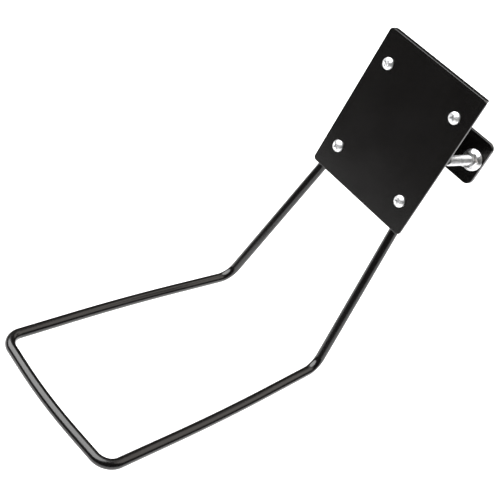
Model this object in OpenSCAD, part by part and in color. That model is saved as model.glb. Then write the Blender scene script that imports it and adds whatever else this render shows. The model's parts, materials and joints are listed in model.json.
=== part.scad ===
// Bicycle wall rack: a bent rod loop clamped between two steel plates that stand
// off the wall on a bent bracket. Millimetres, +Z up, the wall is the plane y = 0
// and the loop reaches out along -Y. The origin lies midway between the wall studs.

/* [Clamp plates] */
// Width of the front plate
front_w = 124; // [118:1:136]
// Height of the front plate
front_h = 154; // [150:1:170]
// Thickness of both plates
plate_t = 3; // [2.5:0.5:4]
// Corner radius of both plates
plate_corner_r = 4; // [2:0.5:8]
// Distance of the plates' centre below the wall studs
plate_drop = 7.5; // [4:0.5:10]
// Depth of the lip behind the top edge, from the plate's face
lip_depth = 9; // [6:0.5:10]
// Width of that lip
lip_w = 120; // [110:1:122]
// Width of the rear plate
rear_w = 111; // [110:1:113]
// Height of the rear plate
rear_h = 143; // [138:1:144]

/* [Rod loop] */
// Diameter of the bent rod
rod_d = 10; // [9:0.5:10]
// Distance between the two clamped legs
leg_spread = 104.5; // [104.5:0.5:105.5]
// Height of the legs' top ends above the plates' centre
leg_top = 62; // [58:1:66]
// Distance between the two knees
knee_spread = 142; // [130:1:150]
// Drop of the knees below the plates' centre
knee_drop = 241; // [210:0.5:260]
// Reach of the knees in front of the front plate
knee_reach = 10; // [0:1:20]
// Distance between the two outer corners
tip_spread = 162; // [154:1:172]
// Drop of the outer corners below the plates' centre
tip_drop = 288; // [270:0.5:300]
// Reach of the outer corners in front of the front plate
tip_reach = 278; // [240:1:300]
// Outward bow of each side rod
side_bow = 3.5; // [1:0.5:6]
// Forward bow of the end bar
end_bow = 10; // [5:1:16]
// Bend radius of the knees
knee_r = 18; // [12:0.5:26]
// Bend radius of the outer corners
corner_r = 17; // [12:0.5:24]

/* [Wall bracket] */
// Distance from the wall to the front plate's face
standoff = 66; // [62:1:72]
// Thickness of the bent flat bar
bar_t = 5; // [4:0.5:6]
// Height of the flat bar
bar_h = 47; // [44:1:52]
// Width of the bracket across its two feet
bracket_w = 135; // [134:1:144]
// Width of the bracket across its two side walls
box_w = 66; // [60:1:72]
// Inner bend radius of the flat bar
bar_bend_r = 3; // [2:0.5:4]
// Corner radius of the feet
foot_corner_r = 7; // [5:1:10]
// Distance between the two wall studs
stud_spacing = 112; // [110:1:113]
// Diameter of the holes in the feet
stud_hole_d = 11; // [10.5:0.1:12]

/* [Fasteners] */
// Distance between the clamp screws across the plate
screw_spacing_x = 88; // [86:0.5:88]
// Distance between the clamp screws up the plate
screw_spacing_z = 96; // [92:1:100]
// Distance of the clamp screws' centre below the plates' centre
screw_drop = 1; // [0:0.5:2]
// Length of a clamp screw under its head
screw_len = 25; // [24:1:30]
// Height of a clamp screw's pan head
head_h = 4.2; // [3.6:0.1:4.6]
// Length of a wall stud
stud_len = 66.5; // [64.5:0.5:70]
// Distance from the front plate's face back to a stud's front end
stud_setback = 13.5; // [13.5:0.5:17]
// Diameter of the notches that let the studs' front ends pass the rear plate
stud_notch_d = 15; // [14:0.5:18]

/* [Hidden] */
$fn = 64;

// M6 clamp fasteners
screw_d = 6;
screw_hole_d = 6.6;
head_d = 12;
head_edge_h = 1.6;
recess_w = 1.3;
recess_l = 6.4;
recess_depth = 2.4;
screw_chamfer = 0.8;
dome_sides = 160;
washer_d = 12;
washer_hole_d = 6.4;
washer_t = 1.6;
nut_af = 10;
nut_h = 5;

// M10 wall fasteners
stud_d = 10;
stud_waist_d = 9;
stud_chamfer = 1.2;
wall_nut_af = 15;
wall_nut_h = 10;
flange_d = 21.8;
flange_edge_t = 1.6;
flange_cone_h = 3.4;

// Clearances
thread_clearance = 0.05;
rod_clearance = 0.05;
rod_step = 0.04;
cut = 0.5;

// Weld beads
bead_r = 4;
bead_l = 44;

// The rear plate sits a little lower than the front plate
rear_drop = 1.5;

// Planes from the front to the wall
front_y = -standoff;
front_back_y = front_y + plate_t;
rod_y = front_back_y + rod_clearance + rod_d / 2;
rear_y = rod_y + rod_d / 2 + rod_clearance;
rear_back_y = rear_y + plate_t;
washer_back_y = rear_back_y + washer_t;

// The four clamp screws, in reading order seen from the front
screw_at = [
    for (z = [1, -1], x = [-1, 1])
        [x * screw_spacing_x / 2, z * screw_spacing_z / 2 - plate_drop - screw_drop]
];

// The bent part of the loop, from the foot of the right-hand leg to its mirror image
leg_end_above_edge = 4;
leg_bend_below_edge = 2;
end_rise = 3;
lower_edge_z = -front_h / 2 - plate_drop;
leg_end = [leg_spread / 2, rod_y, lower_edge_z + leg_end_above_edge];
leg_bend = [leg_spread / 2, rod_y, lower_edge_z - leg_bend_below_edge];
knee = [knee_spread / 2, front_y - knee_reach, -knee_drop - plate_drop];
tip = [tip_spread / 2, front_y - tip_reach, -tip_drop - plate_drop];
side_mid = (knee + tip) / 2 + [side_bow, 0, 0];
end_mid = [0, tip.y - end_bow, tip.z + end_rise];
leg_bend_r = 20;
degrees_per_step = 8;
min_bend_steps = 4;
rod_sides = 32;
side_r = 2400;
end_r = 318;
half_points = [leg_end, leg_bend, knee, side_mid, tip];
half_radii = [leg_bend_r, knee_r, side_r, corner_r];
loop_points = concat(
    half_points,
    [end_mid],
    [for (i = [len(half_points) - 1:-1:0]) mirror_x(half_points[i])]
);
loop_radii = concat(
    half_radii,
    [end_r],
    [for (i = [len(half_radii) - 1:-1:0]) half_radii[i]]
);

function mirror_x(p) = [-p.x, p.y, p.z];
function unit(v) = v / norm(v);
function turn_at(a, b, c) = acos(unit(b - a) * unit(c - b));

// A rectangle with round corners, as a 2D outline built from true arcs
module round_rect(w, h, r) {
    square([w - 2 * r, h], center = true);
    square([w, h - 2 * r], center = true);
    for (x = [-1, 1], z = [-1, 1])
        translate([x * (w / 2 - r), z * (h / 2 - r)]) circle(r);
}

// Stands a 2D outline upright in the XZ plane, from y towards the wall
module upright(y, t) {
    translate([0, y + t, 0]) rotate([90, 0, 0]) linear_extrude(t) children();
}

// Lays a solid that is drawn along +Z down along +Y, with its base at y
module along_y(x, y, z) {
    translate([x, y, z]) rotate([-90, 0, 0]) children();
}

// One quarter of a disc about the 2D origin, on the side given by two signs
module quarter_disc(r, side_x, side_y) {
    intersection() {
        circle(r);
        translate([side_x > 0 ? 0 : -r, side_y > 0 ? 0 : -r]) square(r);
    }
}

// One quadrant of a bent bar's bend, placed in the same way
module quarter_ring(inner_r, outer_r, side_x, side_y) {
    difference() {
        quarter_disc(outer_r, side_x, side_y);
        circle(inner_r);
    }
}

// Points along the bend where a rod turns at b on its way from a to c
function bend_points(a, b, c, r) =
    let (
        turn = turn_at(a, b, c),
        travel = unit(b - a),
        start = b - travel * r * tan(turn / 2),
        inward = unit(cross(cross(travel, c - b), travel)),
        steps = max(min_bend_steps, ceil(turn / degrees_per_step))
    )
    [
        for (k = [0:steps])
            let (turned = turn * k / steps)
            start + r * (sin(turned) * travel + (1 - cos(turned)) * inward)
    ];

// The whole centreline, with every corner point replaced by its bend
function centreline(points, radii) = [
    points[0],
    for (i = [1:len(points) - 2])
        each bend_points(points[i - 1], points[i], points[i + 1], radii[i - 1]),
    points[len(points) - 1]
];

// Direction of travel at each point of a centreline
function tangents(p) = [
    unit(p[1] - p[0]),
    for (i = [1:len(p) - 2]) unit(unit(p[i + 1] - p[i]) + unit(p[i] - p[i - 1])),
    unit(p[len(p) - 1] - p[len(p) - 2])
];

// A side direction at each point, carried along the rod without twist
function carried(t, i, side) =
    let (n = unit(side - (side * t[i]) * t[i]))
    i == len(t) - 1 ? [n] : concat([n], carried(t, i + 1, n));

// A round rod swept along a list of points
module swept_rod(p, side, d) {
    t = tangents(p);
    n = carried(t, 0, side);
    rings = len(p);
    skin = [
        for (i = [0:rings - 1], k = [0:rod_sides - 1])
            let (a = 360 * k / rod_sides)
            p[i] + d / 2 * (cos(a) * n[i] + sin(a) * cross(t[i], n[i]))
    ];
    walls = [
        for (i = [0:rings - 2], k = [0:rod_sides - 1])
            let (ring = i * rod_sides, next = (k + 1) % rod_sides)
            [ring + k, ring + rod_sides + k, ring + rod_sides + next, ring + next]
    ];
    start_cap = [for (k = [0:rod_sides - 1]) k];
    end_cap = [for (k = [rod_sides - 1:-1:0]) (rings - 1) * rod_sides + k];
    polyhedron(skin, concat(walls, [start_cap, end_cap]));
}

module screw_holes(y, t) {
    for (p = screw_at)
        along_y(p.x, y - cut, p.y) cylinder(d = screw_hole_d, h = t + 2 * cut);
}

// Front plate: a flat face with a short lip standing back from its top edge
module front_plate() {
    color([0.07, 0.07, 0.08]) difference() {
        union() {
            upright(front_y, plate_t)
                translate([0, -plate_drop]) round_rect(front_w, front_h, plate_corner_r);
            translate([0, front_back_y, front_h / 2 - plate_drop - plate_t])
                linear_extrude(plate_t) lip_outline();
        }
        screw_holes(front_y, plate_t);
    }
}

// Plan of the lip, with its two free corners rounded
module lip_outline() {
    l = lip_depth - plate_t;
    r = min(plate_t, l / 2);
    translate([-lip_w / 2, -plate_t / 2]) square([lip_w, l - r + plate_t / 2]);
    translate([-lip_w / 2 + r, 0]) square([lip_w - 2 * r, l]);
    for (x = [-1, 1]) translate([x * (lip_w / 2 - r), l - r]) circle(r);
}

// Rear plate: the flat jaw behind the legs of the loop, notched beside each stud
module rear_plate() {
    color([0.08, 0.08, 0.09]) difference() {
        upright(rear_y, plate_t)
            translate([0, -plate_drop - rear_drop]) round_rect(rear_w, rear_h, plate_corner_r);
        screw_holes(rear_y, plate_t);
        for (x = [-1, 1])
            along_y(x * stud_spacing / 2, rear_y - cut, 0)
                cylinder(d = stud_notch_d, h = plate_t + 2 * cut);
    }
}

// Loop: one steel rod, bent into two legs, two arms and a bowed end bar
module bike_loop() {
    color([0.09, 0.09, 0.1]) {
        swept_rod(centreline(loop_points, loop_radii), [1, 0, 0], rod_d - rod_step);
        for (x = [-1, 1])
            translate([x * leg_end.x, leg_end.y, leg_end.z])
                cylinder(d = rod_d, h = leg_top - plate_drop - leg_end.z);
    }
}

// Wall bracket: a flat bar bent into a web, two side walls and two feet
module wall_bracket() {
    color([0.08, 0.08, 0.09]) difference() {
        intersection() {
            translate([0, 0, -bar_h / 2]) linear_extrude(bar_h) {
                bracket_half();
                mirror([1, 0]) bracket_half();
            }
            upright(rear_back_y, -rear_back_y) round_rect(bracket_w, bar_h, foot_corner_r);
        }
        for (x = [-1, 1])
            along_y(x * stud_spacing / 2, -bar_t - cut, 0)
                cylinder(d = stud_hole_d, h = bar_t + 2 * cut);
    }
}

// Plan of the bracket's right-hand half, from the web to the foot
module bracket_half() {
    outer_r = bar_bend_r + bar_t;
    wall_x = box_w / 2;
    web_end = wall_x - outer_r;
    foot_start = wall_x + bar_bend_r;
    translate([0, rear_back_y]) square([web_end, bar_t]);
    translate([web_end, rear_back_y + outer_r]) quarter_ring(bar_bend_r, outer_r, 1, -1);
    translate([wall_x - bar_t, rear_back_y + outer_r])
        square([bar_t, -rear_back_y - 2 * outer_r]);
    translate([foot_start, -outer_r]) quarter_ring(bar_bend_r, outer_r, -1, 1);
    translate([foot_start, -bar_t]) square([bracket_w / 2 - foot_start, bar_t]);
}

// Weld bead between the bracket's web and the rear plate, side = 1 above, -1 below
module weld_bead(side) {
    color([0.1, 0.1, 0.11])
        translate([-bead_l / 2, rear_back_y, side * bar_h / 2])
            rotate([90, 0, 90]) linear_extrude(bead_l) quarter_disc(bead_r, 1, side);
}

// Pan-head clamp screw with a cross recess, its head on the front plate
module clamp_screw(p) {
    color([0.8, 0.8, 0.82]) {
        along_y(p.x, front_y, p.y) {
            cylinder(d = screw_d, h = screw_len - screw_chamfer);
            translate([0, 0, screw_len - screw_chamfer])
                cylinder(d1 = screw_d, d2 = screw_d - 2 * screw_chamfer, h = screw_chamfer);
        }
        along_y(p.x, front_y - head_h, p.y) difference() {
            rotate_extrude() pan_profile();
            for (a = [0, 90])
                rotate(a) translate([-recess_l / 2, -recess_w / 2, -cut])
                    cube([recess_l, recess_w, recess_depth + cut]);
        }
    }
}

// Half section of the pan head: a low dome over a short straight edge
module pan_profile() {
    dome_h = head_h - head_edge_h;
    dome_r = (pow(head_d / 2, 2) + dome_h * dome_h) / (2 * dome_h);
    intersection() {
        square([head_d / 2, head_h]);
        translate([0, dome_r]) circle(dome_r, $fn = dome_sides);
    }
}

module clamp_washer(p) {
    color([0.75, 0.76, 0.78]) along_y(p.x, rear_back_y, p.y) difference() {
        cylinder(d = washer_d, h = washer_t);
        translate([0, 0, -cut]) cylinder(d = washer_hole_d, h = washer_t + 2 * cut);
    }
}

module clamp_nut(p) {
    color([0.75, 0.76, 0.78]) along_y(p.x, washer_back_y, p.y) difference() {
        hexagon(nut_af, nut_h);
        translate([0, 0, -cut])
            cylinder(d = screw_d + 2 * thread_clearance, h = nut_h + 2 * cut);
    }
}

module hexagon(af, h) {
    rotate(30) cylinder(d = af / cos(30), h = h, $fn = 6);
}

// Wall stud: threaded at both ends, with a thinner waist where it passes the foot,
// drawn from its wall end towards the front
module wall_stud(x) {
    wall_end = front_y + stud_setback + stud_len;
    front_l = stud_len - wall_end - bar_t - stud_chamfer;
    tip_d = stud_d - 2 * stud_chamfer;
    color([0.8, 0.8, 0.82]) translate([x, wall_end, 0]) rotate([90, 0, 0]) {
        translate([0, 0, stud_chamfer]) cylinder(d = stud_d, h = wall_end - stud_chamfer);
        cylinder(d1 = tip_d, d2 = stud_d, h = stud_chamfer);
        translate([0, 0, wall_end]) cylinder(d = stud_waist_d, h = bar_t);
        translate([0, 0, wall_end + bar_t]) cylinder(d = stud_d, h = front_l);
        translate([0, 0, stud_len - stud_chamfer])
            cylinder(d1 = stud_d, d2 = tip_d, h = stud_chamfer);
    }
}

// Flange nut that holds a foot against the wall
module wall_nut(x) {
    color([0.82, 0.82, 0.84]) along_y(x, -bar_t - wall_nut_h, 0) difference() {
        union() {
            hexagon(wall_nut_af, wall_nut_h);
            translate([0, 0, wall_nut_h - flange_edge_t]) cylinder(d = flange_d, h = flange_edge_t);
            translate([0, 0, wall_nut_h - flange_edge_t - flange_cone_h])
                cylinder(d1 = wall_nut_af, d2 = flange_d, h = flange_cone_h);
        }
        translate([0, 0, -cut])
            cylinder(d = stud_d + 2 * thread_clearance, h = wall_nut_h + 2 * cut);
    }
}

front_plate();
rear_plate();
bike_loop();
wall_bracket();
weld_bead(1);  // weld_top
weld_bead(-1);  // weld_bottom
clamp_screw(screw_at[0]);  // screw_1
clamp_screw(screw_at[1]);  // screw_2
clamp_screw(screw_at[2]);  // screw_3
clamp_screw(screw_at[3]);  // screw_4
clamp_washer(screw_at[0]);  // washer_1
clamp_washer(screw_at[1]);  // washer_2
clamp_washer(screw_at[2]);  // washer_3
clamp_washer(screw_at[3]);  // washer_4
clamp_nut(screw_at[0]);  // nut_1
clamp_nut(screw_at[1]);  // nut_2
clamp_nut(screw_at[2]);  // nut_3
clamp_nut(screw_at[3]);  // nut_4
wall_stud(-stud_spacing / 2);  // stud_left
wall_stud(stud_spacing / 2);  // stud_right
wall_nut(-stud_spacing / 2);  // wall_nut_left
wall_nut(stud_spacing / 2);  // wall_nut_right
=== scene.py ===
# %% [markdown]
# # A bicycle wall rack in black powder coat and bright zinc
# The real rack is a kit of pressed plates, one bent rod and some fasteners. This
# lesson gives each of those pieces the form that its making leaves on it: rounded
# sheet edges, a drawn rod, rolled threads, a pressed cross recess, a rippled weld.
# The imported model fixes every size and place, so the first step is to load it.

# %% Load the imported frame
import json
import math

import bmesh
import bpy
from mathutils import Matrix, Vector
from mathutils.geometry import delaunay_2d_cdt


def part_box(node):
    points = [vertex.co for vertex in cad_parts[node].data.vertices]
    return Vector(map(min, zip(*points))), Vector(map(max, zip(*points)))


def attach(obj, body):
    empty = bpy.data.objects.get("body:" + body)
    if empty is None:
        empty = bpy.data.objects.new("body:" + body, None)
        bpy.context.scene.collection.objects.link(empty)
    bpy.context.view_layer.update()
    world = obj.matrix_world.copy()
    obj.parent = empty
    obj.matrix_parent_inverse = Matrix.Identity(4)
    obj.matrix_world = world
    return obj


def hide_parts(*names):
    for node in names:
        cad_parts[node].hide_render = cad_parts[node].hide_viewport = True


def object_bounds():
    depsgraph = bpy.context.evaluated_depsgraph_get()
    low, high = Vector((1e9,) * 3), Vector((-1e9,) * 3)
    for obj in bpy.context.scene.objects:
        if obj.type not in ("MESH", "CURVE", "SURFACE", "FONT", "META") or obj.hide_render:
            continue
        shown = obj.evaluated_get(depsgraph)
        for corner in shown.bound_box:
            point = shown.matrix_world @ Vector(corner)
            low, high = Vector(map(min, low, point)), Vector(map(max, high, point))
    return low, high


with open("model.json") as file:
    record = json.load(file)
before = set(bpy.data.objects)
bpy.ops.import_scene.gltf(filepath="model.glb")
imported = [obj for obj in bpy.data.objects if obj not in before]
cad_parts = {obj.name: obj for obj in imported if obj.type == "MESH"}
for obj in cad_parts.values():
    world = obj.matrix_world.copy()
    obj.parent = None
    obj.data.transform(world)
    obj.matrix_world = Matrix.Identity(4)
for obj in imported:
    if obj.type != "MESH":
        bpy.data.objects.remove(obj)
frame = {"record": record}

MM = 0.001
cad_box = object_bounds()
print("CAD box in mm:", [[round(c / MM, 1) for c in corner] for corner in cad_box])

# %% [markdown]
# ## Reading places from the frame
# Every piece sits where its CAD node sits, so its place is read from that node's box
# and not typed in. A small helper gives the box in handy form: centre and size.


# %% Boxes of the CAD nodes
def place_of(node):
    """Centre and size of a CAD node's box, in metres."""
    low, high = (Vector(c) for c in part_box(node))
    return (low + high) / 2, high - low


front_centre, front_size = place_of("front_plate")
front_face_y = front_centre.y - front_size.y / 2
rear_centre, rear_size = place_of("rear_plate")
print("front plate (mm):", [round(c / MM, 1) for c in front_size])

# %% [markdown]
# ## The camera
# A product shot of a rack is taken from the right and above, with a longish lens, and
# the rack lies across the picture, so the camera is rolled about its own axis. It
# could be placed by hand, but an aim point, a distance and three angles say the same
# thing in words that a photographer would use.

# %% Place the camera
CAMERA_AIM = Vector((3.3, -191.1, -137.5)) * MM
CAMERA_DISTANCE = 964.4 * MM
CAMERA_AZIMUTH = 30.4
CAMERA_ELEVATION = 27.5
CAMERA_ROLL = 30.7
CAMERA_LENS = 76.3


def direction(azimuth, elevation):
    """Unit vector from the object towards a viewer at this azimuth and elevation, in degrees."""
    a, e = math.radians(azimuth), math.radians(elevation)
    return Vector((math.sin(a) * math.cos(e), -math.cos(a) * math.cos(e), math.sin(e)))


def make_camera():
    """The scene's camera, rolled about the line from its lens to the aim point."""
    data = bpy.data.cameras.new("studio_camera")
    data.lens = CAMERA_LENS
    data.clip_start = 0.01
    data.clip_end = 100
    camera = bpy.data.objects.new("studio_camera", data)
    bpy.context.scene.collection.objects.link(camera)
    back = direction(CAMERA_AZIMUTH, CAMERA_ELEVATION)
    turn = (-back).to_track_quat("-Z", "Y").to_matrix().to_4x4()
    roll = Matrix.Rotation(math.radians(CAMERA_ROLL), 4, "Z")
    place = Matrix.Translation(CAMERA_AIM + back * CAMERA_DISTANCE)
    camera.matrix_world = place @ turn @ roll
    bpy.context.scene.camera = camera
    return camera


make_camera()
print("camera is", round(CAMERA_DISTANCE, 3), "m from its aim point")

# %% [markdown]
# ## Helpers for materials
# A finish is a small network of nodes. One function adds a node with its settings and
# links, and one turns an sRGB hex value, as a paint chart gives it, into the linear
# numbers that a shader works in.


# %% Helpers for materials
def linear(hex_colour):
    """An sRGB hex colour such as 1a1a1b as linear red, green, blue and alpha."""
    channels = [int(hex_colour[i:i + 2], 16) / 255 for i in (0, 2, 4)]
    return [c / 12.92 if c <= 0.04045 else ((c + 0.055) / 1.055) ** 2.4 for c in channels] + [1]


def add(tree, kind, settings=None, **inputs):
    """Adds a node, applies its settings, and fills or links its inputs by name."""
    made = tree.nodes.new("ShaderNode" + kind)
    for key, value in (settings or {}).items():
        setattr(made, key, value)
    for key, value in inputs.items():
        socket = made.inputs[int(key[1:]) if key[1:].isdigit() else key.replace("_", " ")]
        if isinstance(value, bpy.types.NodeSocket):
            tree.links.new(value, socket)
        else:
            socket.default_value = value
    return made


def new_finish(name):
    """An empty material with a Principled shader, its node tree and object coordinates."""
    finish = bpy.data.materials.new(name)
    finish.use_nodes = True
    tree = finish.node_tree
    tree.nodes.clear()
    shader = add(tree, "BsdfPrincipled")
    add(tree, "OutputMaterial", Surface=shader.outputs["BSDF"])
    place = add(tree, "TexCoord").outputs["Object"]
    return finish, tree, shader, place


def per_metre(size_mm):
    """Texture scale for a pattern whose features are this many millimetres apart."""
    return 1 / (size_mm * MM)


# %% [markdown]
# ## Black powder coat
# The plates and the rod are coated steel: a polyester powder is sprayed on dry and
# baked until it flows. It gives a hard gloss black with a slight orange peel, waves a
# couple of millimetres apart that soften every reflection, and a fine grain of dust
# set into the film. An image could hold that, but noise at two real sizes stays sharp
# at any distance. A third, much wider noise varies the gloss a little.

# %% Powder coat for plates and rod
FILM_BLACK = "060505"
FILM_DUSTY = "12110f"
PEEL_MM = 2.2
GRAIN_MM = 0.35
GLOSS_CLOUD_MM = 38
PEEL_HEIGHT = 0.05 * MM
GRAIN_HEIGHT = 0.006 * MM


def powder_coat(name, roughness, peel_strength):
    """Gloss black powder coat, with its orange peel and the dust in the film."""
    finish, tree, shader, place = new_finish(name)
    peel = add(tree, "TexNoise", Vector=place, Scale=per_metre(PEEL_MM), Detail=2.0)
    grain = add(tree, "TexNoise", Vector=place, Scale=per_metre(GRAIN_MM), Detail=3.0)
    cloud = add(tree, "TexNoise", Vector=place, Scale=per_metre(GLOSS_CLOUD_MM), Detail=4.0)
    tint = add(tree, "MapRange", Value=grain.outputs["Fac"], From_Min=0.45, From_Max=0.85)
    colour = add(tree, "Mix", {"data_type": "RGBA"}, Factor=tint.outputs["Result"],
                 _6=linear(FILM_BLACK), _7=linear(FILM_DUSTY))
    tree.links.new(colour.outputs[2], shader.inputs["Base Color"])
    gloss = add(tree, "MapRange", Value=cloud.outputs["Fac"], From_Min=0.3, From_Max=0.7,
                To_Min=roughness * 0.94, To_Max=roughness * 1.08)
    tree.links.new(gloss.outputs["Result"], shader.inputs["Roughness"])
    waves = add(tree, "Bump", Height=peel.outputs["Fac"], Strength=peel_strength,
                Distance=PEEL_HEIGHT)
    specks = add(tree, "Bump", Height=grain.outputs["Fac"], Strength=peel_strength * 0.6,
                 Distance=GRAIN_HEIGHT, Normal=waves.outputs["Normal"])
    tree.links.new(specks.outputs["Normal"], shader.inputs["Normal"])
    shader.inputs["IOR"].default_value = 1.5
    return finish


plate_coat = powder_coat("gloss_powder_coat_on_plate", 0.22, 0.3)
rod_coat = powder_coat("gloss_powder_coat_on_rod", 0.2, 0.3)
print("made", plate_coat.name, "and", rod_coat.name)

# %% [markdown]
# ## Bright zinc plate
# Screws, nuts and studs are cold headed or rolled, then zinc plated in a barrel. The
# plating is bright but not a mirror: it scatters a little where parts have knocked
# together, and its passivation leaves faint blue and straw clouds. It is a metal, so
# the colour sits in the base colour and the IOR stays at its default.

# %% Zinc plate
ZINC_PALE = "eeeeee"
ZINC_DULL = "c9cacc"
BARREL_MARK_MM = 0.8
ZINC_CLOUD_MM = 4.5
BARREL_MARK_HEIGHT = 0.02 * MM


def zinc_plate(name, roughness, mark_strength):
    """Bright zinc plate with barrel marks and faint passivation clouds."""
    finish, tree, shader, place = new_finish(name)
    clouds = add(tree, "TexNoise", Vector=place, Scale=per_metre(ZINC_CLOUD_MM), Detail=5.0)
    marks = add(tree, "TexNoise", Vector=place, Scale=per_metre(BARREL_MARK_MM), Detail=6.0)
    tint = add(tree, "MapRange", Value=clouds.outputs["Fac"], From_Min=0.35, From_Max=0.7)
    colour = add(tree, "Mix", {"data_type": "RGBA"}, Factor=tint.outputs["Result"],
                 _6=linear(ZINC_PALE), _7=linear(ZINC_DULL))
    tree.links.new(colour.outputs[2], shader.inputs["Base Color"])
    gloss = add(tree, "MapRange", Value=marks.outputs["Fac"], From_Min=0.3, From_Max=0.7,
                To_Min=roughness * 0.7, To_Max=roughness * 1.4)
    tree.links.new(gloss.outputs["Result"], shader.inputs["Roughness"])
    dents = add(tree, "Bump", Height=marks.outputs["Fac"], Strength=mark_strength,
                Distance=BARREL_MARK_HEIGHT)
    tree.links.new(dents.outputs["Normal"], shader.inputs["Normal"])
    shader.inputs["Metallic"].default_value = 1.0
    return finish


screw_zinc = zinc_plate("bright_zinc_on_screw", 0.4, 0.5)
nut_zinc = zinc_plate("bright_zinc_on_nut", 0.3, 0.4)
stud_zinc = zinc_plate("bright_zinc_on_stud", 0.42, 0.35)
print("made", screw_zinc.name, nut_zinc.name, stud_zinc.name)

# %% [markdown]
# ## Turning points into pieces
# Each piece below is a list of points and faces worked out by a rule. This step turns
# such a list into an object, marks its true edges as sharp, gives it a finish, and
# sets it on its body in place of its CAD node.

# %% Making an object from a mesh
SHARP_ANGLE = 38
SAME_POINT = 1e-7


def to_piece(name, build, finish, body, node):
    """Makes an object from a bmesh, with a finish, riding on a body in place of a CAD node."""
    bmesh.ops.remove_doubles(build, verts=build.verts, dist=SAME_POINT)
    bmesh.ops.recalc_face_normals(build, faces=build.faces)
    mesh = bpy.data.meshes.new(name)
    build.to_mesh(mesh)
    build.free()
    return mesh_to_piece(name, mesh, finish, body, node)


def mesh_to_piece(name, mesh, finish, body, node):
    """The same, for a mesh that is already made."""
    mesh.shade_smooth()
    mesh.set_sharp_from_angle(angle=math.radians(SHARP_ANGLE))
    mesh.materials.clear()
    mesh.materials.append(finish)
    piece = bpy.data.objects.new(name, mesh)
    bpy.context.scene.collection.objects.link(piece)
    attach(piece, body)
    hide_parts(node)
    return piece


body_of = {n: b for b, ns in frame["record"]["behaviour"]["bodies"].items() for n in ns}

# %% [markdown]
# ## Pressed sheet with rounded edges
# A punched and coated plate has no sharp edge anywhere: the film rounds it to about
# half a millimetre, and that round is what draws a thin line of light along it. A
# bevel modifier on the CAD mesh would trip over its long triangles, so the sheet is
# built again: outline and holes are stepped inwards round the edge, and the two faces
# between them are filled with even triangles. A bent sheet is made the same way, as
# its flat blank, and every point is then carried round the bends.

# %% Outlines in the flat
ARC_STEPS = 10
SHORTEST_MITRE = 0.4


def arc(centre, radius, start, end, steps=ARC_STEPS):
    """Points on an arc, from one angle to another in degrees."""
    return [
        (centre[0] + radius * math.cos(math.radians(start + (end - start) * k / steps)),
         centre[1] + radius * math.sin(math.radians(start + (end - start) * k / steps)))
        for k in range(steps + 1)
    ]


def round_rectangle(low, high, radius):
    """A rectangle with four round corners, counter-clockwise."""
    (x0, y0), (x1, y1), r = low, high, radius
    return (arc((x1 - r, y0 + r), r, -90, 0) + arc((x1 - r, y1 - r), r, 0, 90)
            + arc((x0 + r, y1 - r), r, 90, 180) + arc((x0 + r, y0 + r), r, 180, 270))


def round_hole(centre, radius, steps=40):
    """A hole's outline, clockwise, so that the metal is on its left like the outline's."""
    return arc(centre, radius, 360, 0, steps)[:-1]


def with_even_steps(loop, step):
    """The same closed outline with no edge longer than step."""
    out = []
    for a, b in zip(loop, loop[1:] + loop[:1]):
        n = max(1, math.ceil(math.dist(a, b) / step))
        out += [(a[0] + (b[0] - a[0]) * k / n, a[1] + (b[1] - a[1]) * k / n) for k in range(n)]
    return [p for p, q in zip(out, out[-1:] + out[:-1]) if math.dist(p, q) > SAME_POINT]


def stepped_in(loop, distance):
    """The outline moved into the metal, which lies on its left."""
    out = []
    for a, b, c in zip(loop[-1:] + loop[:-1], loop, loop[1:] + loop[:1]):
        n1 = Vector((a[1] - b[1], b[0] - a[0])).normalized()
        n2 = Vector((b[1] - c[1], c[0] - b[0])).normalized()
        mid = (n1 + n2).normalized()
        out.append(tuple(Vector(b) + mid * (distance / max(SHORTEST_MITRE, mid.dot(n1)))))
    return out


# %% Filling a sheet's face
CLEAR_OF_EDGE = 0.55
FILL_TOLERANCE = 1e-8


def is_inside(point, loops):
    """Even-odd test of a point against closed outlines."""
    x, y = point
    inside = False
    for loop in loops:
        for (ax, ay), (bx, by) in zip(loop, loop[1:] + loop[:1]):
            if (ay > y) != (by > y) and x < (bx - ax) * (y - ay) / (by - ay) + ax:
                inside = not inside
    return inside


def fill_face(loops, guard_loops, grid):
    """Even triangles between outlines, as points and index triples."""
    points, edges = [], []
    for loop in loops + guard_loops:
        first = len(points)
        points += loop
        edges += [(first + k, first + (k + 1) % len(loop)) for k in range(len(loop))]
    xs, ys = [p[0] for p in loops[0]], [p[1] for p in loops[0]]
    across = int((max(xs) - min(xs)) / grid)
    along = int((max(ys) - min(ys)) / grid)
    for i in range(1, across):
        for j in range(1, along):
            p = (min(xs) + grid * (i + (j % 2) / 2), min(ys) + grid * j)
            nearest = min(math.dist(p, q) for q in points)
            if is_inside(p, guard_loops) and nearest > grid * CLEAR_OF_EDGE:
                points.append(p)
    made, _, faces, *_ = delaunay_2d_cdt([Vector(p) for p in points], edges, [], 0,
                                         FILL_TOLERANCE)
    made = [tuple(p) for p in made]
    middles = [(tuple(sum(made[i][k] for i in f) / 3 for k in (0, 1)), f) for f in faces]
    return made, [f for middle, f in middles if is_inside(middle, loops)]


# %% Building a sheet
EDGE_STEPS = 3
GUARD_SHARE = 2.2


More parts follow.
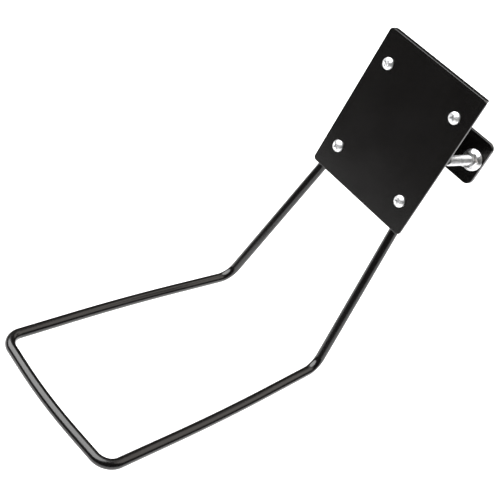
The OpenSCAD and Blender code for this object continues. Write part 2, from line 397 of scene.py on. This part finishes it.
def build_sheet(outline, holes, thickness, edge_round, grid, carry):
    """A sheet with rounded edges as a bmesh. carry turns (u, v, height) into a place."""
    build = bmesh.new()
    loops = [with_even_steps(loop, grid) for loop in [outline] + holes]

    def ring(loop, step_in, height):
        return [build.verts.new(carry(u, v, height)) for u, v in stepped_in(loop, step_in)]

    quarter = [math.pi / 2 * k / EDGE_STEPS for k in range(EDGE_STEPS + 1)]
    profile = [(edge_round * (1 - math.sin(a)), thickness / 2 - edge_round * (1 - math.cos(a)))
               for a in quarter]
    profile += [(step_in, -height) for step_in, height in reversed(profile)]
    for loop in loops:
        rings = [ring(loop, *p) for p in profile]
        for one, two in zip(rings, rings[1:]):
            for k in range(len(one)):
                n = (k + 1) % len(one)
                build.faces.new((one[k], one[n], two[n], two[k]))
    face_loops = [stepped_in(loop, edge_round) for loop in loops]
    guards = [stepped_in(loop, edge_round * GUARD_SHARE) for loop in loops]
    points, triangles = fill_face(face_loops, guards, grid)
    for side in (1, -1):
        verts = [build.verts.new(carry(u, v, side * thickness / 2)) for u, v in points]
        for triangle in triangles:
            build.faces.new([verts[i] for i in triangle])
    return build


# %% [markdown]
# ## Bends
# A press brake bends a strip along straight lines, and the metal's middle layer keeps
# its length. So a bend is a function: it takes a distance along the strip and a
# height above its middle layer, and walks that distance through runs and bends.


# %% A strip's walk through its bends
def bent_strip(start, heading, steps):
    """A function from (distance, height) to a place in the bending plane.

    steps are ("run", length) or ("bend", degrees, radius), with a left turn positive.
    """
    legs = []
    here, angle, gone = Vector(start), math.radians(heading), 0.0
    for kind, *values in steps:
        if kind == "run":
            legs.append((gone, here.copy(), angle, None, 0))
            here = here + Vector((math.cos(angle), math.sin(angle))) * values[0]
            gone += values[0]
        else:
            turn, radius = math.radians(values[0]), values[1]
            side = math.copysign(1, turn)
            left = Vector((-math.sin(angle), math.cos(angle)))
            centre = here + left * radius * side
            legs.append((gone, centre, angle, radius, side))
            angle += turn
            here = centre - Vector((-math.sin(angle), math.cos(angle))) * radius * side
            gone += abs(turn) * radius

    def at(distance, height):
        start_at, origin, angle, radius, side = [g for g in legs if g[0] <= distance + 1e-9][-1]
        if radius is None:
            ahead = Vector((math.cos(angle), math.sin(angle)))
            left = Vector((-ahead.y, ahead.x))
            return origin + ahead * (distance - start_at) + left * height
        now = angle + side * (distance - start_at) / radius
        left = Vector((-math.sin(now), math.cos(now)))
        return origin + left * (height - radius * side)

    return at, gone


# %% [markdown]
# ## The front plate
# It is a rectangle with round corners and four screw holes, and a short lip stands
# back from its top edge to hide the clamp. The lip is a little narrower than the face,
# so its ends show just behind the plate's round corners. Its top sits a few hundredths
# lower than the plate's, so that the two surfaces never lie in one plane.

# %% Front plate
SHEET_THICKNESS = 3 * MM
SHEET_EDGE = 0.5 * MM
PLATE_CORNER = 4 * MM
LIP_WIDTH = 120 * MM
LIP_CORNER = 2.6 * MM
LIP_SET_DOWN = 0.04 * MM
SCREW_HOLE = 3.3 * MM


def joined(first, second):
    """One bmesh holding both, with the second one freed."""
    mesh = bpy.data.meshes.new("part")
    second.to_mesh(mesh)
    second.free()
    first.from_mesh(mesh)
    bpy.data.meshes.remove(mesh)
    return first


def screw_holes():
    """The four screw holes' outlines, in the X and Z of the rack."""
    places = [place_of(f"screw_{i}")[0] for i in (1, 2, 3, 4)]
    return [round_hole((place.x, place.z), SCREW_HOLE) for place in places]


def front_plate():
    """The clamp's front plate, with its lip."""
    half, high = front_size.x / 2, front_centre.z + front_size.z / 2
    middle_y = front_face_y + SHEET_THICKNESS / 2
    lip_z = high - SHEET_THICKNESS / 2 - LIP_SET_DOWN
    lip_back = front_face_y + front_size.y
    outline = round_rectangle((-half, high - front_size.z), (half, high), PLATE_CORNER)
    right = ([(LIP_WIDTH / 2, middle_y)]
             + arc((LIP_WIDTH / 2 - LIP_CORNER, lip_back - LIP_CORNER), LIP_CORNER, 0, 90, 8))
    lip_outline = right + [(-x, y) for x, y in reversed(right)]
    face = build_sheet(outline, screw_holes(), SHEET_THICKNESS, SHEET_EDGE, 4 * MM,
                       lambda u, v, h: (u, middle_y - h, v))
    lip = build_sheet(lip_outline, [], SHEET_THICKNESS, SHEET_EDGE, 2.5 * MM,
                      lambda u, v, h: (u, v, lip_z + h))
    return to_piece("front_plate_pressing", joined(face, lip), plate_coat, "rack_frame",
                    "front_plate")


made = front_plate()
print(made.name, len(made.data.polygons), "faces")

# %% [markdown]
# ## The rear plate
# The clamp's other jaw is flat. Two notches in its edges let the ends of the wall
# studs pass, so its outline leaves the straight edge for an arc on each side.

# %% Rear plate
NOTCH_RADIUS = 7.5 * MM


def rear_plate():
    """The clamp's rear plate, with a notch beside each wall stud."""
    half, r = rear_size.x / 2, PLATE_CORNER
    low, high = rear_centre.z - rear_size.z / 2, rear_centre.z + rear_size.z / 2
    stud = place_of("stud_right")[0]
    reach = math.sqrt(NOTCH_RADIUS ** 2 - (stud.x - half) ** 2)
    opening = math.degrees(math.atan2(reach, half - stud.x))
    right = (arc((half - r, low + r), r, -90, 0)
             + arc((stud.x, stud.z), NOTCH_RADIUS, 360 - opening, opening, 16)
             + arc((half - r, high - r), r, 0, 90))
    outline = right + [(-u, v) for u, v in reversed(right)]

    def carry(u, v, h):
        return (u, rear_centre.y - h, v)

    build = build_sheet(outline, screw_holes(), SHEET_THICKNESS, SHEET_EDGE, 6 * MM, carry)
    return to_piece("rear_plate_pressing", build, plate_coat, "rack_frame", "rear_plate")


made = rear_plate()
print(made.name, len(made.data.polygons), "faces")

# %% [markdown]
# ## The wall bracket
# A flat bar is bent four times into a top-hat: a web against the rear plate, two side
# walls that hold it off the wall, and two feet with a stud hole each. It is drawn as
# the straight bar that it was cut from, and then carried round its four bends.

# %% Wall bracket
BAR_THICKNESS = 5 * MM
BAR_INNER_BEND = 3 * MM
BAR_EDGE = 0.7 * MM
BOX_WIDTH = 66 * MM
FOOT_CORNER = 7 * MM
STUD_HOLE = 5.5 * MM


def wall_bracket():
    """The bent bar between the clamp and the wall."""
    centre, size = place_of("wall_bracket")
    outer = BAR_INNER_BEND + BAR_THICKNESS
    mid = BAR_INNER_BEND + BAR_THICKNESS / 2
    foot_run = size.x / 2 - BOX_WIDTH / 2 - BAR_INNER_BEND
    steps = [("run", foot_run), ("bend", -90, mid), ("run", size.y - 2 * outer),
             ("bend", 90, mid), ("run", BOX_WIDTH - 2 * outer), ("bend", 90, mid),
             ("run", size.y - 2 * outer), ("bend", -90, mid), ("run", foot_run)]
    wall_y = centre.y + size.y / 2
    at, length = bent_strip((-size.x / 2, wall_y - BAR_THICKNESS / 2), 0, steps)
    half_h = size.z / 2
    outline = round_rectangle((0, -half_h), (length, half_h), FOOT_CORNER)
    stud_at = size.x / 2 - place_of("stud_right")[0].x
    holes = [round_hole((u, 0), STUD_HOLE) for u in (stud_at, length - stud_at)]

    def carry(u, v, h):
        x, y = at(u, h)
        return (x, y, centre.z + v)

    build = build_sheet(outline, holes, BAR_THICKNESS, BAR_EDGE, 1.6 * MM, carry)
    return to_piece("wall_bracket_bent_bar", build, plate_coat, "rack_frame", "wall_bracket")


made = wall_bracket()
print(made.name, len(made.data.polygons), "faces")

# %% [markdown]
# ## Lofts
# Rods, screws and nuts are all rings of points joined one to the next. A loft can be
# closed with a cap at each end, or, for a nut, it can run through its own bore and
# meet itself again.


# %% Joining rings of points
def loft(rings, through_bore=False):
    """A bmesh from rings with equal numbers of points."""
    build = bmesh.new()
    made = [[build.verts.new(p) for p in ring] for ring in rings]
    pairs = list(zip(made, made[1:]))
    if through_bore:
        pairs.append((made[-1], made[0]))
    for one, two in pairs:
        for k in range(len(one)):
            n = (k + 1) % len(one)
            build.faces.new((one[k], one[n], two[n], two[k]))
    if not through_bore:
        for ring in (made[0], made[-1]):
            middle = build.verts.new(sum((v.co for v in ring), Vector()) / len(ring))
            for k in range(len(ring)):
                build.faces.new((ring[k], ring[(k + 1) % len(ring)], middle))
    return build


def turned_ring(radius, z, sides):
    """A ring about the Z axis. radius and z are numbers, or functions of the angle."""
    out = []
    for k in range(sides):
        a = 2 * math.pi * k / sides
        r = radius(a) if callable(radius) else radius
        h = z(a) if callable(z) else z
        out.append(Vector((r * math.cos(a), r * math.sin(a), h)))
    return out


def laid_along_y(build, place, spin=0.0):
    """Lays a turned piece down so that its +Z runs along +Y, with its start at place."""
    lay = Matrix.Translation(place) @ Matrix.Rotation(math.radians(-90), 4, "X")
    build.transform(lay @ Matrix.Rotation(math.radians(spin), 4, "Z"))
    return build


# %% [markdown]
# ## The loop
# One 10 mm rod is bent cold on a former: legs, knees, arms and a bowed end bar. The
# corners of its centreline are the same as in the CAD, and each is replaced by an arc.
# A curve object with a round bevel would do, but rings placed here keep the tube's
# section true in every bend, and let its cut ends be chamfered.

# %% The loop's centreline
ROD_RADIUS = 4.96 * MM
ROD_BEHIND_PLATE = 5.05 * MM
HALF_LEG_SPREAD = 52.25 * MM
LEG_BEND_BELOW_EDGE = 2 * MM
KNEE_FROM_FACE = Vector((71, -10, -241)) * MM
TIP_FROM_FACE = Vector((81, -278, -288)) * MM
ARM_BOW = Vector((3.5, 0, 0)) * MM
END_BOW = Vector((0, -10, 3)) * MM
LEG_BEND, KNEE_BEND, CORNER_BEND = 20 * MM, 18 * MM, 17 * MM
ARM_BOW_RADIUS, END_BOW_RADIUS = 2400 * MM, 318 * MM

face_middle = Vector((0, front_face_y, front_centre.z))
leg = Vector((HALF_LEG_SPREAD, front_face_y + SHEET_THICKNESS + ROD_BEHIND_PLATE,
              front_centre.z - front_size.z / 2 - LEG_BEND_BELOW_EDGE))
knee = face_middle + KNEE_FROM_FACE
tip = face_middle + TIP_FROM_FACE
arm_middle = (knee + tip) / 2 + ARM_BOW
end_middle = Vector((0, tip.y, tip.z)) + END_BOW
leg_top = Vector((leg.x, leg.y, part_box("bike_loop")[1][2]))
half_corners = [(leg, LEG_BEND), (knee, KNEE_BEND), (arm_middle, ARM_BOW_RADIUS),
                (tip, CORNER_BEND)]


def mirrored(p):
    """The same point on the other side of the rack."""
    return Vector((-p.x, p.y, p.z))


FEWEST_BEND_STEPS = 8
DEGREES_PER_STEP = 2.5
corners = [leg_top] + [p for p, _ in half_corners] + [end_middle]
corners += [mirrored(p) for p, _ in reversed(half_corners)] + [mirrored(leg_top)]
half_radii = [r for _, r in half_corners]
bend_radii = half_radii + [END_BOW_RADIUS] + half_radii[::-1]


def bend_points(a, b, c, radius):
    """Points round the bend at b, on the way from a to c."""
    travel, leaving = (b - a).normalized(), (c - b).normalized()
    turn = travel.angle(leaving)
    start = b - travel * radius * math.tan(turn / 2)
    inward = travel.cross(leaving).cross(travel).normalized()
    steps = max(FEWEST_BEND_STEPS, math.ceil(math.degrees(turn) / DEGREES_PER_STEP))
    return [start + travel * radius * math.sin(turn * k / steps)
            + inward * radius * (1 - math.cos(turn * k / steps)) for k in range(steps + 1)]


centreline = [corners[0]]
for before, here, after, radius in zip(corners, corners[1:], corners[2:], bend_radii):
    centreline += bend_points(before, here, after, radius)
centreline.append(corners[-1])
rod_length = sum((b - a).length for a, b in zip(centreline, centreline[1:]))
print("rod length (mm):", round(rod_length / MM))

# %% The rod
ROD_SIDES = 48
ROD_CHAMFER = 0.8 * MM
LONGEST_STEP = 12 * MM


def with_short_steps(points, longest):
    """The same line with long straight runs divided."""
    out = [points[0]]
    for a, b in zip(points, points[1:]):
        n = max(1, math.ceil((b - a).length / longest))
        out += [a.lerp(b, k / n) for k in range(1, n + 1)]
    return out


def bike_loop():
    """The bent rod, with a chamfer at both cut ends."""
    line = with_short_steps(centreline, LONGEST_STEP)
    side = Vector((1, 0, 0))
    rings = []
    for i, p in enumerate(line):
        before, after = line[max(0, i - 1)], line[min(len(line) - 1, i + 1)]
        ahead = ((p - before).normalized() + (after - p).normalized()).normalized()
        side = (side - ahead * side.dot(ahead)).normalized()
        other = ahead.cross(side)
        ring_at = [(p, ROD_RADIUS)]
        if i == 0:
            ring_at = [(p, ROD_RADIUS - ROD_CHAMFER), (p + ahead * ROD_CHAMFER, ROD_RADIUS)]
        if i == len(line) - 1:
            ring_at = [(p - ahead * ROD_CHAMFER, ROD_RADIUS), (p, ROD_RADIUS - ROD_CHAMFER)]
        for middle, radius in ring_at:
            rings.append([
                middle + radius * (side * math.cos(2 * math.pi * k / ROD_SIDES)
                                   + other * math.sin(2 * math.pi * k / ROD_SIDES))
                for k in range(ROD_SIDES)
            ])
    return to_piece("bike_loop_rod", loft(rings), rod_coat, "loop", "bike_loop")


made = bike_loop()
print(made.name, len(made.data.polygons), "faces")

# %% [markdown]
# ## Threads
# A rolled thread is one ridge wound round the bar. Its surface is a cylinder whose
# radius rises and falls once per pitch, a little later at every angle, so a ring of
# points every sixth of a pitch is enough to draw it. A chamfer cuts the ridge down at
# each end that has one.

# %% Threaded rings
THREAD_SIDES = 32
RINGS_PER_PITCH = 6
STUD_INNER_CHAMFER = 0.5 * MM
STUD_END_CHAMFER = 1.2 * MM
SCREW_END_CHAMFER = 0.8 * MM
THREAD_DEPTH = 0.6
FLANK_SLOPE = 1.25


def thread_rings(radius, pitch, start, end, chamfer_start, chamfer_end):
    """Rings of a threaded bar from start to end along Z."""
    depth = THREAD_DEPTH * pitch
    count = round((end - start) / pitch * RINGS_PER_PITCH)
    rings = []
    for i in range(count + 1):
        z = start + (end - start) * i / count
        top = radius
        if chamfer_start:
            top = min(top, radius - chamfer_start + (z - start))
        if chamfer_end:
            top = min(top, radius - chamfer_end + (end - z))

        def profile(a, z=z, top=top):
            """Radius of the thread at an angle, at this ring's height."""
            phase = (z / pitch - a / (2 * math.pi)) % 1
            ridge = radius - depth * min(1, abs(2 * phase - 1) * FLANK_SLOPE)
            return min(ridge, top)

        rings.append(turned_ring(profile, z, THREAD_SIDES))
    return rings


# %% [markdown]
# ## The clamp screws
# Each is an M6 pan head: a low dome, a short straight rim, and a cross recess that a
# punch presses into it. The recess has four tapering wings that meet in a small
# cone, so it is cut with a tool of that shape, as the header does.

# %% A pan-head screw
HEAD_HEIGHT = 4.2 * MM
HEAD_RADIUS = 6 * MM
HEAD_RIM = 1.6 * MM
M6_PITCH = 1.0 * MM
SCREW_LENGTH = 25 * MM


def head_profile():
    """Radius and depth of the pan head, from the crown to the bearing face."""
    dome = HEAD_HEIGHT - HEAD_RIM
    ball = (HEAD_RADIUS ** 2 + dome ** 2) / (2 * dome)
    points = []
    for k in range(1, 13):
        r = (HEAD_RADIUS - 0.25 * MM) * k / 12
        points.append((r, ball - math.sqrt(ball ** 2 - r ** 2)))
    return points + [(HEAD_RADIUS - 0.06 * MM, dome), (HEAD_RADIUS, dome + 0.25 * MM),
                     (HEAD_RADIUS, HEAD_HEIGHT - 0.2 * MM),
                     (HEAD_RADIUS - 0.2 * MM, HEAD_HEIGHT), (3.1 * MM, HEAD_HEIGHT)]


def recess_tool():
    """The cross-shaped punch, from above the crown down to its point."""
    build = bmesh.new()
    for turn in (0, 90):
        rings = []
        for z, length, width in ((-0.5, 4.0, 1.05), (1.3, 3.5, 0.95), (2.9, 1.9, 0.7)):
            rings.append([Vector((x * length * MM, y * width * MM, z * MM))
                          for x, y in ((1, 1), (-1, 1), (-1, -1), (1, -1))])
        wing = loft(rings)
        wing.transform(Matrix.Rotation(math.radians(turn), 4, "Z"))
        joined(build, wing)
    bmesh.ops.recalc_face_normals(build, faces=build.faces)
    return build


def cut_mesh(body, tool):
    """The body's mesh with the tool's shape taken out of it."""
    objects = []
    for name, build in (("body", body), ("tool", tool)):
        bmesh.ops.recalc_face_normals(build, faces=build.faces)
        mesh = bpy.data.meshes.new(name)
        build.to_mesh(mesh)
        build.free()
        made = bpy.data.objects.new(name, mesh)
        bpy.context.scene.collection.objects.link(made)
        objects.append(made)
    body_object, tool_object = objects
    cutter = body_object.modifiers.new("recess", "BOOLEAN")
    cutter.operation = "DIFFERENCE"
    cutter.solver = "EXACT"
    cutter.use_self = True
    cutter.object = tool_object
    graph = bpy.context.evaluated_depsgraph_get()
    result = bpy.data.meshes.new_from_object(body_object.evaluated_get(graph))
    for made in objects:
        mesh = made.data
        bpy.data.objects.remove(made)
        bpy.data.meshes.remove(mesh)
    return result


def screw_mesh():
    """A clamp screw's pan head with its cross recess cut, crown first along +Z."""
    rings = [turned_ring(r, z, THREAD_SIDES * 2) for r, z in head_profile()]
    head = loft(rings)
    return cut_mesh(head, recess_tool())


# %% Four clamp screws
SCREW_SPINS = {1: 18, 2: 61, 3: 40, 4: 77}


def clamp_screw(number, head):
    """One screw: its cut head and its threaded shank, as one object."""
    centre, size = place_of(f"screw_{number}")
    build = bmesh.new()
    build.from_mesh(head)
    joined(build, loft(thread_rings(3 * MM, M6_PITCH, HEAD_HEIGHT - 0.3 * MM,
                                    HEAD_HEIGHT + SCREW_LENGTH, 0, SCREW_END_CHAMFER)))
    start = Vector((centre.x, centre.y - size.y / 2, centre.z))
    laid_along_y(build, start, SCREW_SPINS[number])
    return to_piece(f"clamp_screw_{number}_pan_head", build, screw_zinc,
                    body_of[f"screw_{number}"], f"screw_{number}")


head = screw_mesh()
for number in SCREW_SPINS:
    made = clamp_screw(number, head)
print(made.name, len(made.data.polygons), "faces")

# %% [markdown]
# ## Hexagons
# A nut's corners are cut back by a cone, which leaves the curved top to each flat. In
# polar form that takes no cutting: a ring follows the hexagon's radius at each angle,
# and its height drops with that radius.

# %% Nuts and washers
NUT_SIDES = 96
BROKEN_CORNER = 1.14
CHAMFER_CIRCLE = 0.475
CHAMFER_SLOPE = 0.5


def hexagon_radius(across_flats):
    """Radius of a hexagon at an angle, with its corners very slightly broken."""
    half = across_flats / 2

    def at(a):
        off = (a + math.pi / 6) % (math.pi / 3) - math.pi / 6
        return min(half / math.cos(off), half * BROKEN_CORNER)

    return at


def clamp_nut(number):
    """An M6 nut, chamfered on both faces."""
    centre, size = place_of(f"nut_{number}")
    flats, height, bore = 10 * MM, size.y, 3.05 * MM
    hexagon = hexagon_radius(flats)
    circle = flats * CHAMFER_CIRCLE

    def fall(a):
        return (hexagon(a) - circle) * CHAMFER_SLOPE

    profile = [(bore + 0.5 * MM, 0), (circle, 0), (hexagon, fall),
               (hexagon, lambda a: height - fall(a)), (circle, height),
               (bore + 0.5 * MM, height), (bore, height - 0.5 * MM), (bore, 0.5 * MM)]
    build = loft([turned_ring(r, z, NUT_SIDES) for r, z in profile], through_bore=True)
    laid_along_y(build, Vector((centre.x, centre.y - size.y / 2, centre.z)), 7 * number)
    return to_piece(f"clamp_nut_{number}_hexagon", build, nut_zinc, "rack_frame",
                    f"nut_{number}")


def clamp_washer(number):
    """A punched washer: one face is rolled over slightly by the punch."""
    centre, size = place_of(f"washer_{number}")
    outer, bore, t = size.x / 2, 3.2 * MM, size.y
    roll = 0.35 * MM
    profile = [(bore, 0.1 * MM), (bore + 0.1 * MM, 0), (outer - 0.1 * MM, 0), (outer, 0.1 * MM),
               (outer, t - roll), (outer - 0.1 * MM, t - roll * 0.4), (outer - roll, t),
               (bore + roll, t), (bore, t - roll)]
    build = loft([turned_ring(r, z, 64) for r, z in profile], through_bore=True)
    laid_along_y(build, Vector((centre.x, centre.y - t / 2, centre.z)))
    return to_piece(f"clamp_washer_{number}_disc", build, nut_zinc, "rack_frame",
                    f"washer_{number}")


for number in SCREW_SPINS:
    clamp_nut(number)
    made = clamp_washer(number)
print("four nuts and four washers;", made.name, len(made.data.polygons), "faces")

# %% [markdown]
# ## The wall studs and their flange nuts
# An M10 stud stands out of the wall through each foot, threaded at both ends with a
# plain waist between, and a nut with a built-in flange presses the foot home. The
# flange is a cone that the hexagon grows out of, so the hexagon's walls end where they
# meet the cone.

# %% Studs and flange nuts
M10_PITCH = 1.5 * MM
STUD_WAIST = 4.5 * MM
FLANGE_HEIGHT = 5 * MM
FLANGE_EDGE = 1.6 * MM


def wall_stud(side):
    """A stud threaded at both ends, with its plain waist where it passes the foot."""
    centre, size = place_of(f"stud_{side}")
    radius = size.x / 2
    foot_back = -(centre.y - size.y / 2)
    foot_front = foot_back - BAR_THICKNESS
    rings = thread_rings(radius, M10_PITCH, 0, foot_front, STUD_END_CHAMFER,
                         STUD_INNER_CHAMFER)
    rings += [turned_ring(STUD_WAIST, z, THREAD_SIDES) for z in (foot_front, foot_back)]
    rings += thread_rings(radius, M10_PITCH, foot_back, size.y, STUD_INNER_CHAMFER,
                          STUD_END_CHAMFER)
    build = loft(rings)
    laid_along_y(build, Vector((centre.x, centre.y - size.y / 2, centre.z)))
    return to_piece(f"wall_stud_{side}_threaded_bar", build, stud_zinc, "rack_frame",
                    f"stud_{side}")


def flange_nut(side):
    """An M10 flange nut."""
    centre, size = place_of(f"wall_nut_{side}")
    flats, bore, height, rim = 15 * MM, 5.05 * MM, size.y, size.x / 2
    hexagon = hexagon_radius(flats)
    circle = flats * CHAMFER_CIRCLE
    cone_low, cone_high = height - FLANGE_HEIGHT, height - FLANGE_EDGE

    def fall(a):
        return (hexagon(a) - circle) * CHAMFER_SLOPE

    def on_cone(a):
        share = (hexagon(a) - flats / 2) / (rim - flats / 2)
        return cone_low + share * (cone_high - cone_low)

    profile = [(bore + 0.7 * MM, 0), (circle, 0), (hexagon, fall), (hexagon, on_cone),
               (rim - 0.5 * MM, cone_high - 0.5 * MM), (rim - 0.1 * MM, cone_high),
               (rim, cone_high + 0.3 * MM), (rim, height - 0.4 * MM),
               (rim - 0.4 * MM, height), (bore + 0.4 * MM, height), (bore, height - 0.4 * MM),
               (bore, 0.7 * MM)]
    build = loft([turned_ring(r, z, NUT_SIDES) for r, z in profile], through_bore=True)
    laid_along_y(build, Vector((centre.x, centre.y - height / 2, centre.z)), 12)
    return to_piece(f"wall_nut_{side}_flanged", build, nut_zinc, body_of[f"wall_nut_{side}"],
                    f"wall_nut_{side}")


for side in ("left", "right"):
    wall_stud(side)
    made = flange_nut(side)
print("two studs and two flange nuts;", made.name, len(made.data.polygons), "faces")

# %% [markdown]
# ## The welds
# The bracket's web is joined to the rear plate by one bead above and one below. A
# hand-held torch lays the bead as a row of overlapping ripples, a couple of
# millimetres apart, and the start and the end fade into the plate.

# %% Weld beads
RIPPLE_MM = 2.1
BEAD_STEPS = 5
BEAD_SIDES = 8
END_FADE = 4 * MM
END_SIZE = 0.35
RIPPLE_SHARE = 0.12
BOW_SHARE = 0.14
RIPPLE_LAG = 0.5 * MM
ROOT_SINK = 0.3 * MM


def weld_bead(node, side):
    """A rippled fillet weld, side = 1 above the web or -1 below it."""
    centre, size = place_of(node)
    reach = size.z
    root_y, root_z = centre.y - size.y / 2, centre.z - side * size.z / 2
    length = size.x
    stations = round(length / (RIPPLE_MM * MM) * BEAD_STEPS)
    rings = []
    for i in range(stations + 1):
        x = -length / 2 + length * i / stations
        from_end = min(x + length / 2, length / 2 - x)
        fade = min(1, END_SIZE + from_end / END_FADE)
        ripple = (x / (RIPPLE_MM * MM)) % 1
        swell = reach * fade * (1 - RIPPLE_SHARE + RIPPLE_SHARE * math.sqrt(ripple))
        ring = [Vector((x, root_y - ROOT_SINK, root_z - side * ROOT_SINK))]
        for k in range(BEAD_SIDES + 1):
            a = math.pi / 2 * k / BEAD_SIDES
            bow = 1 - BOW_SHARE + BOW_SHARE * abs(math.cos(2 * a))
            lag = RIPPLE_LAG * math.sin(2 * a)
            ring.append(Vector((x + lag * fade, root_y + swell * bow * math.cos(a),
                                root_z + side * swell * bow * math.sin(a))))
        rings.append(ring)
    return to_piece(f"{node}_rippled_bead", loft(rings), plate_coat, "rack_frame", node)


for node, side in (("weld_top", 1), ("weld_bottom", -1)):
    made = weld_bead(node, side)
print(made.name, len(made.data.polygons), "faces")

# %% [markdown]
# ## Floor and light
# Gloss black shows only what it reflects. The rack hangs over a white floor that ends
# in front of it, in a dark room. So the plate's face mirrors the dark room, and grows
# greyer towards its lower edge, where the floor's edge comes into view. The faces that
# look to the right mirror the bright floor behind the rack, and the tops stay black.
# A wide soft light high at the front left draws the white line along each front edge.

# %% Floor
FLOOR_DROP = 0.55
FLOOR_FRONT_EDGE = 1.55
FLOOR_RADIUS = 30


def make_floor():
    """A wide white floor below the rack, ending a little way in front of it."""
    finish, tree, shader, place = new_finish("pale_studio_floor")
    mottle = add(tree, "TexNoise", Vector=place, Scale=3.0, Detail=3.0)
    colour = add(tree, "Mix", {"data_type": "RGBA"}, Factor=mottle.outputs["Fac"],
                 _6=linear("fbfbfb"), _7=linear("f6f6f6"))
    tree.links.new(colour.outputs[2], shader.inputs["Base Color"])
    shader.inputs["Roughness"].default_value = 0.9
    shader.inputs["Specular IOR Level"].default_value = 0.1
    centre = Vector((0, FLOOR_RADIUS - FLOOR_FRONT_EDGE, cad_box[0][2] - FLOOR_DROP))
    build = bmesh.new()
    bmesh.ops.create_circle(build, cap_ends=True, radius=FLOOR_RADIUS, segments=96)
    build.transform(Matrix.Translation(centre))
    mesh = bpy.data.meshes.new("floor")
    build.to_mesh(mesh)
    build.free()
    mesh.materials.append(finish)
    floor = bpy.data.objects.new("floor", mesh)
    bpy.context.scene.collection.objects.link(floor)
    return floor


make_floor()


# %% Lights
def add_light(name, kind, azimuth, elevation, distance, energy, **settings):
    """A light that looks at the rack from this direction."""
    data = bpy.data.lights.new(name, kind)
    data.energy = energy
    for key, value in settings.items():
        setattr(data, key, value)
    light = bpy.data.objects.new(name, data)
    bpy.context.scene.collection.objects.link(light)
    middle = (Vector(cad_box[0]) + Vector(cad_box[1])) / 2
    towards = direction(azimuth, elevation)
    light.matrix_world = (Matrix.Translation(middle + towards * distance)
                          @ (-towards).to_track_quat("-Z", "Y").to_matrix().to_4x4())
    return light


def make_world(strength):
    """A dim, even room all round."""
    world = bpy.data.worlds.new("studio_room")
    world.use_nodes = True
    room = world.node_tree.nodes["Background"]
    room.inputs["Color"].default_value = linear("fdfdfd")
    room.inputs["Strength"].default_value = strength
    bpy.context.scene.world = world


make_world(0.05)
add_light("high_front_left", "SUN", -44, 54, 3, 8.5, angle=math.radians(78))
add_light("back_softbox", "AREA", 155, 52, 1.8, 20.0, shape="RECTANGLE", size=2.2, size_y=1.6,
          color=(1.0, 0.94, 0.88))
bpy.context.scene.view_settings.view_transform = "Standard"
